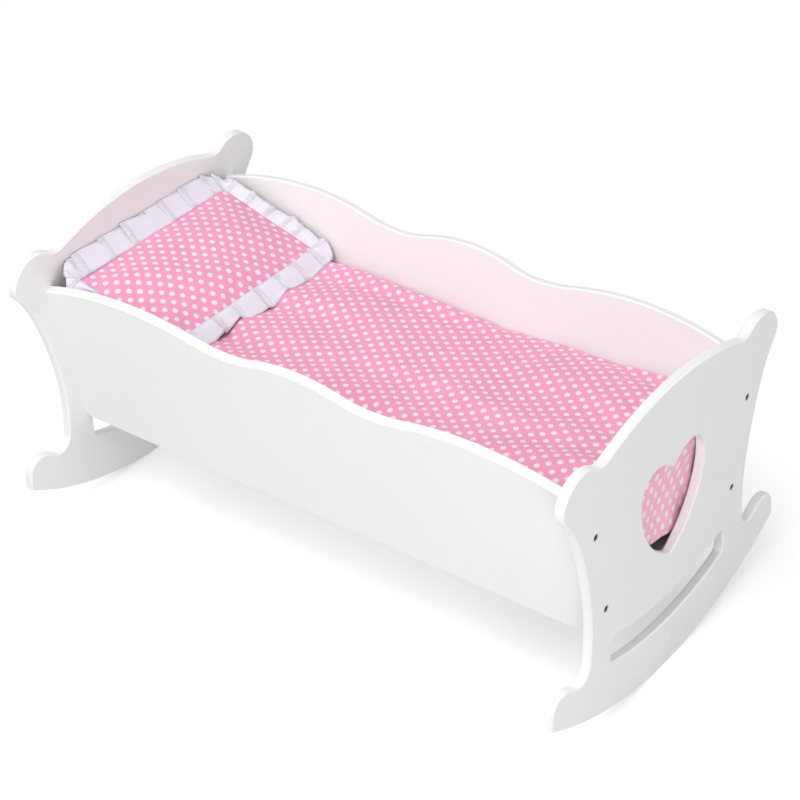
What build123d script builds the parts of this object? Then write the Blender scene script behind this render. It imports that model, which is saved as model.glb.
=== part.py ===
"""Rocking doll cradle: two shaped end boards, two leaning sides, a base, screws and bedding.

Millimetres. X runs from the headboard (-X) to the footboard (+X), Y across the cradle,
Z up. The origin is under the middle of the cradle, level with the bottom of the rockers.
"""

import os
from math import asin, cos, degrees, radians, sin, sqrt, tan

from build123d import *

# Overall sizes
length = 560.0
height = 280.0
half_reach = 170.0
board = 9.0
edge_ease = 1.3

# End board: the rocker and its horns
rocker_radius = 325.0
horn_height = 20.0
tip_corner = 2.5

# End board: outline from the apex to the foot of the waist, as shares of the half reach
# and of the height above the hollow over the horn
arch_and_waist_shares = (
    (0.0, 1.0),
    (0.570, 0.919),
    (0.666, 0.929),
    (0.917, 0.874),
    (0.904, 0.797),
    (0.800, 0.655),
    (0.694, 0.336),
    (0.689, 0.046),
)

# End board: the horn, as shares of the half reach and of the horn's height above its tip
horn_shares = (
    (0.811, 1.05),
    (0.902, 1.36),
    (0.992, 0.77),
    (0.996, 0.30),
)

# Heart cut-out
heart_half_width = 46.5
heart_top = 210.0
heart_tip = 113.5
heart_lobe_radius = 20.5
heart_dip = 13.0
heart_tip_radius = 4.0
heart_cleft_radius = 2.5

# Finger slot, which follows the curve of the rocker
slot_half_length = 86.0
slot_sill = 46.0
slot_height = 26.0
slot_corner = 7.0

# Side panels
side_lean = 12.0
side_foot_y = 92.4
side_foot_z = 85.5
side_end_height = 149.5
side_crest_rise = 16.5
side_valley_rise = 4.5
side_middle_rise = 15.5
side_valley_share = 0.266
side_crest_share = 0.635
wave_turn_share = 0.65
side_foot_corner = 4.0

# Base, held in a groove along each side panel
base_thickness = 6.0
base_top = 100.0
groove_depth = 4.0
groove_clearance = 0.15

# Screws through the end boards into the ends of the side panels
screw_heights = (121.0, 200.8)
screw_head_radius = 3.1
screw_head_height = 3.0
screw_head_recess = 0.8
screw_shank_radius = 2.0
screw_length = 38.0
screw_clearance = 0.1
screw_hole_spare = 2.0

# Small pilot hole low in the footboard
pilot_radius = 1.3
pilot_depth = 4.0
pilot_y = 7.4
pilot_z = 27.0

# Bedding
bed_gap = 0.4
bed_head_gap = 5.0
bed_foot_gap = 9.0
bed_side_gap = 1.0
mattress_thickness = 66.0
mattress_round = 9.0
mattress_side_gap = 2.0
quilt_flap = 10.0
quilt_flap_bottom = 108.0
quilt_flap_half_width = 82.0
quilt_flap_fold = 3.0
quilt_flap_folds = 5
quilt_edge_height = 21.0
quilt_seam_share = 0.55
quilt_end_inset = 6.0

# Quilt: where its cross sections stand, as shares of its length from head to foot,
# with the height of the crown and of the side seam above its underside
quilt_station_shares = (
    0.0, 0.02, 0.055, 0.12, 0.19, 0.27, 0.34, 0.42, 0.50, 0.58, 0.68, 0.80, 0.90, 0.95, 0.985, 1.0
)
quilt_inset_shares = (
    1.0, 0.55, 0.3, 0.1, 0.0, 0.0, 0.0, 0.0, 0.0, 0.0, 0.0, 0.0, 0.1, 0.3, 0.6, 1.0
)
quilt_crowns = (
    16.0, 22.0, 26.0, 28.0, 30.0, 34.0, 36.5, 35.5, 33.0, 32.0, 34.0, 37.0, 38.0, 37.5, 32.0, 24.0
)
quilt_bow = 5.0

# Pillow, sewn all round to a knife-pleated ribbon
pillow_depth = 112.0
pillow_side_gap = 2.0
pillow_crown = 15.0
pillow_belly = 30.0
pillow_seam = 2.4
pillow_spans = 6
pillow_fullness_power = 2.3
pillow_tilt = 16.0
pillow_foot_height = 39.5
ruffle_gap = 0.4
ruffle_head_gap = 1.0
ruffle_thickness = 1.0
ruffle_fold = 2.2
ruffle_foot_width = 18.5
ruffle_head_width = 18.0
ruffle_side_width = 14.0
ruffle_foot_lift = 1.0
ruffle_head_lift = 28.0
ruffle_side_lift = 6.0
ruffle_pleat_pitch = 26.0
ruffle_pleats_corner = 2
ruffle_fold_share = 0.12
ruffle_join = 1.5

cut_spare = 5.0

# Worked out from the sizes above
half_length = length / 2
head_inside = -half_length + board
foot_inside = half_length - board
inside_length = foot_inside - head_inside
tip_rise = rocker_radius - sqrt(rocker_radius**2 - half_reach**2)
foot_hollow_z = tip_rise + horn_height
lean = radians(side_lean)
slope_board = board / cos(lean)


def side_outside_y(z):
    """Distance from the middle to a side panel's outer face at a height."""
    return side_foot_y + (z - side_foot_z) * tan(lean)


def side_inside_y(z):
    """Distance from the middle to a side panel's inner face at a height."""
    return side_outside_y(z) - slope_board


def tangent_chain(points, heading):
    """Draws arcs from point to point, each starting in the direction the last one ended."""
    start = points[0]
    for end in points[1:]:
        arc = TangentArc(start, end, tangent=heading)
        start = end
        heading = arc % 1


def board_outline():
    """Face of an end board, in the sketch plane: an arch with lobes, a waist and a rocker."""
    upper = [
        (half_reach * across, foot_hollow_z + (height - foot_hollow_z) * up)
        for across, up in arch_and_waist_shares
    ]
    horn = [(half_reach * across, tip_rise + horn_height * up) for across, up in horn_shares]
    tip = (half_reach, tip_rise)
    with BuildSketch(mode=Mode.PRIVATE) as outline:
        with BuildLine():
            tangent_chain(upper + horn, (1, 0))
            Line(horn[-1], tip)
            TangentArc((0, 0), tip, tangent=(1, 0))
            mirror(about=Plane.YZ)
        make_face()
        corners = outline.vertices().filter_by(
            lambda v: abs(v.Y - tip_rise) < edge_ease and abs(v.X) > half_reach - edge_ease
        )
        fillet(corners, radius=tip_corner)
    return outline.sketch


def heart_outline():
    """Heart cut-out in the sketch plane, two lobes whose flanks curve in to the tip."""
    lobe_y = heart_half_width - heart_lobe_radius
    lobe_z = heart_top - heart_lobe_radius
    cleft = (0, heart_top - heart_dip)
    crown = (lobe_y, heart_top)
    shoulder = (heart_half_width, lobe_z)
    with BuildSketch(mode=Mode.PRIVATE) as outline:
        with BuildLine():
            TangentArc(crown, cleft, tangent=(-1, 0))
            TangentArc(crown, shoulder, tangent=(1, 0))
            TangentArc(shoulder, (0, heart_tip), tangent=(0, -1))
            mirror(about=Plane.YZ)
        make_face()
        fillet(outline.vertices().sort_by(Axis.Y)[0], radius=heart_tip_radius)
        middle = outline.vertices().filter_by(lambda v: abs(v.X) < edge_ease)
        fillet(middle.sort_by(Axis.Y)[-1], radius=heart_cleft_radius)
    return outline.sketch


def slot_outline():
    """Finger slot in the sketch plane: a band between two arcs about the rocker's centre."""
    low_radius = rocker_radius - slot_sill
    high_radius = low_radius - slot_height
    low_end = rocker_radius - sqrt(low_radius**2 - slot_half_length**2)
    high_end = rocker_radius - sqrt(high_radius**2 - slot_half_length**2)
    with BuildSketch(mode=Mode.PRIVATE) as outline:
        with BuildLine():
            TangentArc((0, slot_sill), (slot_half_length, low_end), tangent=(1, 0))
            Line((slot_half_length, low_end), (slot_half_length, high_end))
            TangentArc(
                (0, slot_sill + slot_height), (slot_half_length, high_end), tangent=(1, 0)
            )
            mirror(about=Plane.YZ)
        make_face()
        ends = outline.vertices().filter_by(lambda v: abs(v.X) > slot_half_length - edge_ease)
        fillet(ends, radius=slot_corner)
    return outline.sketch


def screw_places():
    """The (y, z) of each screw: on the middle of the side panels, two heights a side."""
    middle_in = slope_board / 2
    return [
        (side * (side_outside_y(z) - middle_in), z) for side in (-1, 1) for z in screw_heights
    ]


def board_face(outside):
    """Adds one end board between its inner face and the outside plane, with its holes."""
    toward = 1 if outside > 0 else -1
    with BuildSketch(Plane.YZ.offset(outside)) as profile:
        add(board_outline())
        add(heart_outline(), mode=Mode.SUBTRACT)
        add(slot_outline(), mode=Mode.SUBTRACT)
    extrude(profile.sketch, amount=-toward * board)
    rims = faces().filter_by(Axis.X).edges()
    chamfer(rims, length=edge_ease)
    with BuildSketch(Plane.YZ.offset(outside)) as head_holes:
        with Locations(*screw_places()):
            Circle(screw_head_radius + screw_clearance)
    head_depth = screw_head_recess + screw_head_height
    extrude(head_holes.sketch, amount=-toward * head_depth, mode=Mode.SUBTRACT)
    with BuildSketch(Plane.YZ.offset(outside)) as shank_holes:
        with Locations(*screw_places()):
            Circle(screw_shank_radius + screw_clearance)
    extrude(shank_holes.sketch, amount=-toward * (board + cut_spare), mode=Mode.SUBTRACT)


with BuildPart() as headboard:
    board_face(-half_length)

with BuildPart() as footboard:
    board_face(half_length)
    with BuildSketch(Plane.YZ.offset(half_length)):
        with Locations((pilot_y, pilot_z)):
            Circle(pilot_radius)
    extrude(amount=-pilot_depth, mode=Mode.SUBTRACT)


def side_plane(side):
    """Plane of a side panel's outer face: origin at its lower edge, local Y up the slope."""
    return Plane(
        origin=(0, side * side_foot_y, side_foot_z),
        x_dir=(-side, 0, 0),
        z_dir=(0, side * cos(lean), -sin(lean)),
    )


def side_panel(side):
    """Adds a leaning side panel with a waved top edge, a base groove and screw holes."""
    half = inside_length / 2
    valley = (half * side_valley_share, side_end_height + side_valley_rise)
    crest = (half * side_crest_share, side_end_height + side_crest_rise)
    middle = (0, side_end_height + side_middle_rise)
    end = (half, side_end_height)
    turn_in = tuple(m + (v - m) * wave_turn_share for m, v in zip(middle, valley))
    turn_out = tuple(c + (v - c) * wave_turn_share for c, v in zip(crest, valley))
    with BuildSketch(side_plane(side)) as profile:
        with BuildLine():
            tangent_chain([middle, turn_in, valley, turn_out, crest, end], (1, 0))
            Polyline(end, (half, 0), (0, 0))
            mirror(about=Plane.YZ)
        make_face()
    extrude(profile.sketch, amount=-board)
    upright = edges().filter_by(
        lambda e: e.geom_type == GeomType.LINE
        and abs(e.center().Z - side_foot_z) < board / 2
        and e.length < board + edge_ease
    )
    fillet(upright, radius=side_foot_corner)
    rim = edges().filter_by(
        lambda e: e.center().Z > side_foot_z + side_end_height * cos(lean) - board
        and e.length > board + edge_ease
    )
    chamfer(rim, length=edge_ease)
    groove_y = side_inside_y(base_top) + groove_depth
    groove_height = base_thickness + groove_clearance * 2
    with BuildSketch(Plane.XY.offset(base_top + groove_clearance)) as groove:
        with Locations((0, side * groove_y / 2)):
            Rectangle(length, groove_y)
    extrude(groove.sketch, amount=-groove_height, mode=Mode.SUBTRACT)
    bite = screw_length - board + screw_hole_spare
    for outside in (head_inside, foot_inside):
        toward = 1 if outside > 0 else -1
        with BuildSketch(Plane.YZ.offset(outside)) as holes:
            with Locations(*[p for p in screw_places() if p[0] * side > 0]):
                Circle(screw_shank_radius + screw_clearance)
        extrude(holes.sketch, amount=-toward * bite, mode=Mode.SUBTRACT)


with BuildPart() as side_panel_near:
    side_panel(-1)

with BuildPart() as side_panel_far:
    side_panel(1)

with BuildPart() as base_panel:
    base_half_width = side_inside_y(base_top) + groove_depth - groove_clearance
    with BuildSketch(Plane.XY.offset(base_top - base_thickness)):
        Rectangle(inside_length, base_half_width * 2)
    extrude(amount=base_thickness)


def screw_set(outside):
    """Adds the four screws of one end board: a flat round head on a plain shank."""
    toward = 1 if outside > 0 else -1
    head_plane = outside - toward * screw_head_recess
    with BuildSketch(Plane.YZ.offset(head_plane)) as heads:
        with Locations(*screw_places()):
            Circle(screw_head_radius)
    extrude(heads.sketch, amount=-toward * screw_head_height)
    with BuildSketch(Plane.YZ.offset(head_plane)) as shanks:
        with Locations(*screw_places()):
            Circle(screw_shank_radius)
    extrude(shanks.sketch, amount=-toward * screw_length)


with BuildPart() as headboard_screws:
    screw_set(-half_length)

with BuildPart() as footboard_screws:
    screw_set(half_length)

# Bedding: a mattress on the base, a quilt over it with its end tucked down at the foot
bed_head_x = head_inside + bed_head_gap
bed_foot_x = foot_inside - bed_foot_gap
mattress_bottom = base_top + bed_gap
mattress_top = mattress_bottom + mattress_thickness
mattress_foot_x = bed_foot_x - quilt_flap - bed_gap
quilt_bottom = mattress_top + bed_gap

with BuildPart() as mattress:
    mattress_middle = (bed_head_x + mattress_foot_x) / 2
    mattress_half_width = side_inside_y(mattress_bottom) - mattress_side_gap
    with BuildSketch(Plane.XY.offset(mattress_bottom)):
        with Locations((mattress_middle, 0)):
            RectangleRounded(
                mattress_foot_x - bed_head_x, mattress_half_width * 2, mattress_round
            )
    extrude(amount=mattress_thickness)
    chamfer(mattress.faces().sort_by(Axis.Z)[-1].edges(), length=mattress_round / 3)
    chamfer(mattress.faces().sort_by(Axis.Z)[0].edges(), length=mattress_round / 3)


def quilt_section(x, crown, inset):
    """Cross section of the quilt at a place along it: flat below, bowed on top."""
    low = side_inside_y(quilt_bottom) - bed_side_gap - inset
    seam_z = quilt_bottom + quilt_edge_height * quilt_seam_share
    seam = side_inside_y(seam_z) - bed_side_gap - inset
    shoulder_z = quilt_bottom + crown - quilt_bow
    shoulder = side_inside_y(shoulder_z) - bed_side_gap - quilt_bow - inset
    with BuildSketch(Plane.YZ.offset(x)) as section:
        with BuildLine():
            Line((-low + quilt_bow, quilt_bottom), (low - quilt_bow, quilt_bottom))
            Line((low - quilt_bow, quilt_bottom), (seam, seam_z))
            Line((seam, seam_z), (shoulder, shoulder_z))
            ThreePointArc(
                (shoulder, shoulder_z), (0, quilt_bottom + crown), (-shoulder, shoulder_z)
            )
            Line((-shoulder, shoulder_z), (-seam, seam_z))
            Line((-seam, seam_z), (-low + quilt_bow, quilt_bottom))
        make_face()
    return section.sketch


with BuildPart() as quilt:
    sections = []
    for share, inset, crown in zip(quilt_station_shares, quilt_inset_shares, quilt_crowns):
        station = bed_head_x + (bed_foot_x - bed_head_x) * share
        sections.append(quilt_section(station, crown, quilt_end_inset * inset))
    loft(sections, ruled=True)
    fold_pitch = quilt_flap_half_width * 2 / quilt_flap_folds
    crease_x = bed_foot_x - quilt_flap_fold
    with BuildSketch(Plane.XY.offset(quilt_flap_bottom)):
        with BuildLine():
            for fold in range(quilt_flap_folds):
                left = -quilt_flap_half_width + fold * fold_pitch
                ThreePointArc(
                    (crease_x, left),
                    (bed_foot_x, left + fold_pitch / 2),
                    (crease_x, left + fold_pitch),
                )
            Polyline(
                (crease_x, quilt_flap_half_width),
                (bed_foot_x - quilt_flap, quilt_flap_half_width),
                (bed_foot_x - quilt_flap, -quilt_flap_half_width),
                (crease_x, -quilt_flap_half_width),
            )
        make_face()
    extrude(amount=quilt_bottom + quilt_bow - quilt_flap_bottom)

# Pillow: laid on the quilt with its head end propped against the headboard
tilt = radians(pillow_tilt)
head_frill = ruffle_head_width * cos(tilt + radians(ruffle_head_lift)) + ruffle_head_gap
pillow_foot_x = head_inside + head_frill + (pillow_depth + ruffle_gap) * cos(tilt)
pillow_foot_z = quilt_bottom + pillow_foot_height
pillow_half_width = side_inside_y(pillow_foot_z) - ruffle_side_width - pillow_side_gap
pillow_plane = Plane(
    origin=(pillow_foot_x, 0, pillow_foot_z),
    x_dir=(cos(tilt), 0, -sin(tilt)),
    z_dir=(sin(tilt), 0, cos(tilt)),
)

with BuildPart() as pillow:
    half_seam = pillow_seam / 2
    for step in range(pillow_spans + 1):
        share = step / pillow_spans
        fullness = 1 - abs(share * 2 - 1) ** pillow_fullness_power
        top = half_seam * 2 + (pillow_crown - half_seam) * fullness
        belly = half_seam * 2 + (pillow_belly - half_seam) * fullness
        station = Plane(
            origin=pillow_plane.from_local_coords((-pillow_depth * share, 0, 0)),
            x_dir=(0, 1, 0),
            z_dir=pillow_plane.x_dir,
        )
        with BuildSketch(station):
            with BuildLine():
                left = -pillow_half_width
                right = pillow_half_width
                ThreePointArc((left, half_seam), (0, top), (right, half_seam))
                Line((right, half_seam), (right, -half_seam))
                ThreePointArc((right, -half_seam), (0, -belly), (left, -half_seam))
                Line((left, -half_seam), (left, half_seam))
            make_face()
    loft(ruled=True)
    add(quilt.part.moved(Location((0, 0, ruffle_gap))), mode=Mode.SUBTRACT)


def ruffle_path():
    """Pleat lines of the ruffle in the pillow's plane, as (x, y, heading) pairs per pleat."""
    out_y = pillow_half_width + ruffle_gap
    out_x = pillow_depth / 2 + ruffle_gap
    corner = ruffle_gap * 2
    run_x = out_x - corner
    run_y = out_y - corner
    places = []

    def straight(start, end, heading):
        run = abs(end[0] - start[0]) + abs(end[1] - start[1])
        pleats = max(1, round(run / ruffle_pleat_pitch))
        for pleat in range(pleats):
            for share in (pleat + ruffle_fold_share, pleat + 1):
                along = share / pleats
                x = start[0] + (end[0] - start[0]) * along
                y = start[1] + (end[1] - start[1]) * along
                places.append((x, y, heading))

    def turned(centre, heading):
        for pleat in range(ruffle_pleats_corner):
            for share in (pleat + ruffle_fold_share, pleat + 1):
                angle = heading - 90 * share / ruffle_pleats_corner
                x = centre[0] + corner * cos(radians(angle))
                y = centre[1] + corner * sin(radians(angle))
                places.append((x, y, angle))

    straight((-ruffle_join / 2, -out_y), (-run_x, -out_y), -90)
    turned((-run_x, -run_y), -90)
    straight((-out_x, -run_y), (-out_x, run_y), -180)
    turned((-run_x, run_y), -180)
    straight((-run_x, out_y), (run_x, out_y), -270)
    turned((run_x, run_y), -270)
    straight((out_x, run_y), (out_x, -run_y), -360)
    turned((run_x, -run_y), -360)
    straight((run_x, -out_y), (ruffle_join / 2, -out_y), -450)
    return places


with BuildPart() as pillow_ruffle:
    for place, (x, y, heading) in enumerate(ruffle_path()):
        toward_foot = max(cos(radians(heading)), 0) ** 2
        toward_head = max(-cos(radians(heading)), 0) ** 2
        toward_side = sin(radians(heading)) ** 2
        lift = radians(
            ruffle_foot_lift * toward_foot
            + ruffle_head_lift * toward_head
            + ruffle_side_lift * toward_side
        )
        width = (
            ruffle_foot_width * toward_foot
            + ruffle_head_width * toward_head
            + ruffle_side_width * toward_side
        )
        out_x = pillow_plane.x_dir * cos(radians(heading))
        out_y = pillow_plane.y_dir * sin(radians(heading))
        outward = (out_x + out_y) * cos(lift) + pillow_plane.z_dir * sin(lift)
        along_x = pillow_plane.x_dir * sin(radians(heading))
        along_y = pillow_plane.y_dir * -cos(radians(heading))
        pleat_line = Plane(
            origin=pillow_plane.from_local_coords((x - pillow_depth / 2, y, 0)),
            x_dir=outward,
            z_dir=along_x + along_y,
        )
        rise = ruffle_fold * (place % 2)
        middle = (width / 2 + rise * sin(lift), rise - ruffle_thickness / 2)
        with BuildSketch(pleat_line):
            with Locations(middle):
                Rectangle(width, ruffle_thickness)
    loft(ruled=True)

pieces = {
    "headboard": headboard,
    "footboard": footboard,
    "side_panel_near": side_panel_near,
    "side_panel_far": side_panel_far,
    "base_panel": base_panel,
    "headboard_screws": headboard_screws,
    "footboard_screws": footboard_screws,
    "mattress": mattress,
    "quilt": quilt,
    "pillow": pillow,
    "pillow_ruffle": pillow_ruffle,
}

os.makedirs("parts", exist_ok=True)
for name, piece in pieces.items():
    piece.part.label = name
    export_step(piece.part, f"parts/{name}.step")
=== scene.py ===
"""Rocking doll cradle: the finish of its painted boards, its screws and its made-up bed.

Metres. X runs from the headboard (-X) to the footboard (+X), Y across the cradle, Z up.
"""

from functools import partial
from math import cos, exp, pi, radians, sin, sqrt, tan

import bpy
import numpy as np
from bpy.props import FloatProperty, FloatVectorProperty, IntProperty, PointerProperty
from mathutils import Matrix, Vector, noise
from mathutils.bvhtree import BVHTree


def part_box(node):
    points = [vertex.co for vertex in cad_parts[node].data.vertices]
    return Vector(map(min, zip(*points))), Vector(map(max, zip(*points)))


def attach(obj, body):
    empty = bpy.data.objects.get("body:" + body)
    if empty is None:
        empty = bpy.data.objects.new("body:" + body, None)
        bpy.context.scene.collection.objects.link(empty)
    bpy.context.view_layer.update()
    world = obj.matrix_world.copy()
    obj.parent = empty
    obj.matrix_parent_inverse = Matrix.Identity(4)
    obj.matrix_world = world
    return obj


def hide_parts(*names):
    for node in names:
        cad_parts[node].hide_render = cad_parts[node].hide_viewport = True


bl_info = {
    "name": "Rocking Doll Cradle",
    "version": (1, 0, 0),
    "blender": (4, 5, 0),
    "location": "3D View > Sidebar > Cradle",
    "description": "Dresses the cradle: painted boards, screws, mattress, quilt and ruffled pillow",
    "category": "Object",
}

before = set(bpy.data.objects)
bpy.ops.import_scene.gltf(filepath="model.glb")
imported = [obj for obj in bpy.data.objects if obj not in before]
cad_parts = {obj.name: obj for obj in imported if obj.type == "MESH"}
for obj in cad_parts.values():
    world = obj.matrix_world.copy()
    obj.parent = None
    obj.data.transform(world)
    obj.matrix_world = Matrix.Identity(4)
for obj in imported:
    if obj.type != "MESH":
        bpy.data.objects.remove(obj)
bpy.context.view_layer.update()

headboard_low, headboard_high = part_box("headboard")
footboard_low, footboard_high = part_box("footboard")
side_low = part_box("side_panel_far")[0]
mattress_low, mattress_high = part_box("mattress")
quilt_low, quilt_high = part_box("quilt")

board = footboard_high[0] - footboard_low[0]
head_inside = headboard_high[0]
foot_inside = footboard_low[0]
side_lean = radians(12)


def side_inside_y(z):
    """Distance from the middle to a side panel's inner face at a height."""
    return side_low[1] + (z - side_low[2] - board * sin(side_lean)) * tan(side_lean)


def side_middle_y(z):
    """Distance from the middle to the middle of a side panel's thickness at a height."""
    return side_inside_y(z) + board / cos(side_lean) / 2


# Settings


def length_of(name, description, default):
    """A size in metres."""
    return FloatProperty(name=name, description=description, default=default, unit="LENGTH")


def place_of(name, description, default):
    """A point in the scene."""
    return FloatVectorProperty(
        name=name, description=description, default=default, subtype="TRANSLATION",
        unit="LENGTH")


def angle_of(name, description, degrees):
    """A turn, given in degrees."""
    return FloatProperty(
        name=name, description=description, default=radians(degrees), subtype="ANGLE",
        unit="ROTATION")


def colour_of(name, description, default):
    """A colour as red, green and blue."""
    return FloatVectorProperty(
        name=name, description=description, default=default, subtype="COLOR", min=0, max=1)


def share_of(name, description, default):
    """A number from 0 to 1."""
    return FloatProperty(name=name, description=description, default=default, min=0, max=1)


def amount_of(name, description, default):
    """A number that isn't below 0."""
    return FloatProperty(name=name, description=description, default=default, min=0)


def count_of(name, description, default):
    """A whole number."""
    return IntProperty(name=name, description=description, default=default, min=1)


class StageSettings(bpy.types.PropertyGroup):
    """Camera, lamps, floor and backdrop."""

    camera_place: place_of(
        "Camera place", "Where the camera stands", (1.0177, -1.29001, 1.2752))
    camera_aim: place_of(
        "Camera aim", "Point at the middle of the picture", (-0.00199, 0.01815, 0.14275))
    camera_roll: angle_of("Camera roll", "Turn of the camera about its own axis", -2.0953)
    camera_lens: amount_of("Lens", "Focal length in millimetres on a 36 mm sensor", 105.612)
    floor_colour: colour_of("Floor colour", "Colour of the floor", (0.80, 0.80, 0.80))
    floor_glow: share_of(
        "Floor glow", "Light that only the camera sees on the floor, 1 is white", 0.37)
    sky_strength: amount_of("Sky strength", "Light from all round", 0.30)
    near_watts: amount_of("Near lamp", "Power of the large lamp high on the near side", 30)
    far_watts: amount_of("Far lamp", "Power of the lamp beyond the footboard's far corner", 8)
    foot_watts: amount_of(
        "Foot lamp", "Power of the low lamp beyond the footboard's near corner", 7.2)
    top_watts: amount_of("Top lamp", "Power of the large lamp overhead", 8.5)
    head_watts: amount_of("Head lamp", "Power of the lamp over the head end", 4)
    white_from: length_of(
        "White from", "Distance from the middle where the floor begins to fade to white", 0.42)
    white_beyond: length_of(
        "White beyond", "Distance from the middle beyond which the floor is white", 0.72)


class PaintSettings(bpy.types.PropertyGroup):
    """White satin paint on the boards."""

    colour: colour_of("Paint colour", "Colour of the painted boards", (0.865, 0.86, 0.862))
    roughness: share_of("Paint roughness", "0 is gloss, 1 is chalk", 0.42)
    roller_grain: length_of("Roller grain", "Size of the paint's fine stipple", 0.0016)
    edge_softness: length_of("Edge softness", "Width of the rounding along each edge", 0.0005)


class ScrewSettings(bpy.types.PropertyGroup):
    """Socket screws through the end boards."""

    head_radius: length_of("Head radius", "Radius of a screw's head", 0.0031)
    head_height: length_of("Head height", "Height of a screw's head", 0.003)
    head_recess: length_of("Head recess", "How far the head lies below the board's face", 0.0008)
    socket_radius: length_of(
        "Socket radius", "Radius of the six-sided socket over its corners", 0.00165)
    socket_depth: length_of("Socket depth", "Depth of the six-sided socket", 0.0018)
    shank_radius: length_of("Shank radius", "Radius of the shank between threads", 0.00165)
    thread_radius: length_of("Thread radius", "Radius over the thread", 0.002)
    thread_pitch: length_of("Thread pitch", "Distance between turns of the thread", 0.0016)
    length: length_of("Screw length", "Length from the top of the head to the tip", 0.038)
    low_height: length_of("Lower screws", "Height of the lower screws over the floor", 0.121)
    high_height: length_of("Upper screws", "Height of the upper screws over the floor", 0.2008)
    colour: colour_of("Screw colour", "Colour of the blackened steel", (0.075, 0.048, 0.045))


class ClothSettings(bpy.types.PropertyGroup):
    """Polka-dot cotton of the quilt and the pillow."""

    colour: colour_of("Cloth colour", "Pink of the cotton", (0.895, 0.395, 0.572))
    deep_colour: colour_of("Deep colour", "Pink between the threads", (0.77, 0.19, 0.38))
    # Painted light: this paler pink brightens the hanging part, which gets little light behind the
    # footboard
    flap_painted_light_colour: colour_of(
        "Pulled colour", "Paler pink where the cloth is pulled wider", (1.0, 0.50, 0.665))
    dot_colour: colour_of("Dot colour", "White of the printed dots", (0.86, 0.79, 0.83))
    dot_radius: length_of("Dot radius", "Radius of a printed dot", 0.0024)
    dot_pitch_along: length_of(
        "Dot pitch along", "Distance between rows of dots along the cradle", 0.0143)
    dot_pitch_across: length_of(
        "Dot pitch across", "Distance between rows of dots across the cradle", 0.0117)
    thread_pitch: length_of("Thread pitch", "Distance between threads of the weave", 0.00045)


class QuiltSettings(bpy.types.PropertyGroup):
    """Quilt tucked in between the side panels, hanging down behind the heart."""

    grid: length_of("Quilt grid", "Size of the mesh's squares", 0.005)
    seam_height: length_of(
        "Side seam height", "Height of the side seam over the quilt's underside", 0.0115)
    edge_round: length_of("Edge rounding", "How far in the rounding of the edges starts", 0.015)
    side_gap: length_of("Side gap", "Gap to the side panels", 0.0012)
    fold_round: length_of("Fold rounding", "Radius where the quilt turns down at the foot", 0.015)
    flap_thickness: length_of("Flap thickness", "Thickness of the part that hangs down", 0.008)
    flap_half_width: length_of("Flap half width", "Half the width of the hanging part", 0.081)
    flap_bulge: length_of(
        "Flap bulge", "How far the hanging part bulges towards the heart", 0.0095)
    flap_end: length_of(
        "Flap end", "Height of the hanging part's lower edge over the floor", 0.1215)
    flap_slope: amount_of("Flap slope", "Fall of that edge towards the far side", 0.2)
    flap_stretch: share_of(
        "Flap stretch", "Share by which the hanging cloth is pulled wider", 0.23)
    flap_folds: count_of("Flap folds", "Upright folds in the part that hangs down", 5)
    flap_fold_depth: length_of("Flap fold depth", "Depth of the upright folds", 0.0012)
    ripple_height: length_of("Ripple height", "Height of the soft ripples over the top", 0.0026)


class PillowSettings(bpy.types.PropertyGroup):
    """Pillow laid on the quilt, with its head end against the headboard."""

    grid: length_of("Pillow grid", "Size of the mesh's squares", 0.0036)
    foot_place: place_of(
        "Foot seam place", "Middle of the pillow's seam at the foot side",
        (-0.149, -0.003, 0.2063))
    tilt: angle_of("Pillow tilt", "Slope of the pillow up to the headboard", 16)
    depth: length_of("Pillow depth", "Size from the foot seam to the head seam", 0.1125)
    half_width: length_of("Pillow half width", "Half the size across the cradle", 0.0985)
    corner_round: length_of("Corner rounding", "Radius of the pillow's corners", 0.005)
    crown: length_of("Crown", "Rise of the top over the seam", 0.0125)
    ridge: length_of("Ridge", "Height of the soft ridge that runs over the filling", 0.0018)
    belly: length_of("Belly", "Depth of the underside below the seam", 0.026)
    quilt_gap: length_of("Gap to the quilt", "Clearance over the quilt", 0.0006)


class RuffleSettings(bpy.types.PropertyGroup):
    """Knife-pleated satin ribbon sewn round the pillow."""

    width: length_of("Ribbon width", "Width of the ribbon outside the seam", 0.0185)
    side_width: length_of(
        "Ribbon width at the sides", "Width that shows where it is crowded", 0.0112)
    pleats_foot: count_of("Pleats at the foot", "Pleats along the foot side", 7)
    pleats_side: count_of("Pleats on a side", "Pleats along the near or the far side", 5)
    pleats_corner: count_of("Pleats on a corner", "Pleats fanned round a corner", 2)
    fold: length_of("Fold depth", "How far each pleat is folded under", 0.006)
    nose: length_of("Crease radius", "Radius of the rounded crease at a pleat's end", 0.0007)
    seam_lap: length_of("Seam lap", "How far the ribbon reaches in over the seam", 0.004)
    rise: length_of("Pleat rise", "Height of a pleat's crease at the outer edge", 0.0008)
    colour: colour_of("Ribbon colour", "White of the satin ribbon", (0.78, 0.75, 0.84))


SETTINGS = {
    "cradle_stage": StageSettings,
    "cradle_paint": PaintSettings,
    "cradle_screws": ScrewSettings,
    "cradle_cloth": ClothSettings,
    "cradle_quilt": QuiltSettings,
    "cradle_pillow": PillowSettings,
    "cradle_ruffle": RuffleSettings,
}


# Materials

WHITE = (1.0, 1.0, 1.0, 1.0)

# What the third coordinate of the printed cloth holds where it is pulled wider to the full, which
# is also where its painted light, a paler pink, is full
PAINTED_LIGHT_FULL = 0.001


def node_operator(operation):
    """A Python operator that adds a Math node, and its reflected form."""

    def forward(wire, other):
        return wire.math(operation, other)

    def reflected(wire, other):
        settings = {"operation": operation}
        return wire.finish.node("ShaderNodeMath", settings, {0: other, 1: wire})

    return forward, reflected


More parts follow.
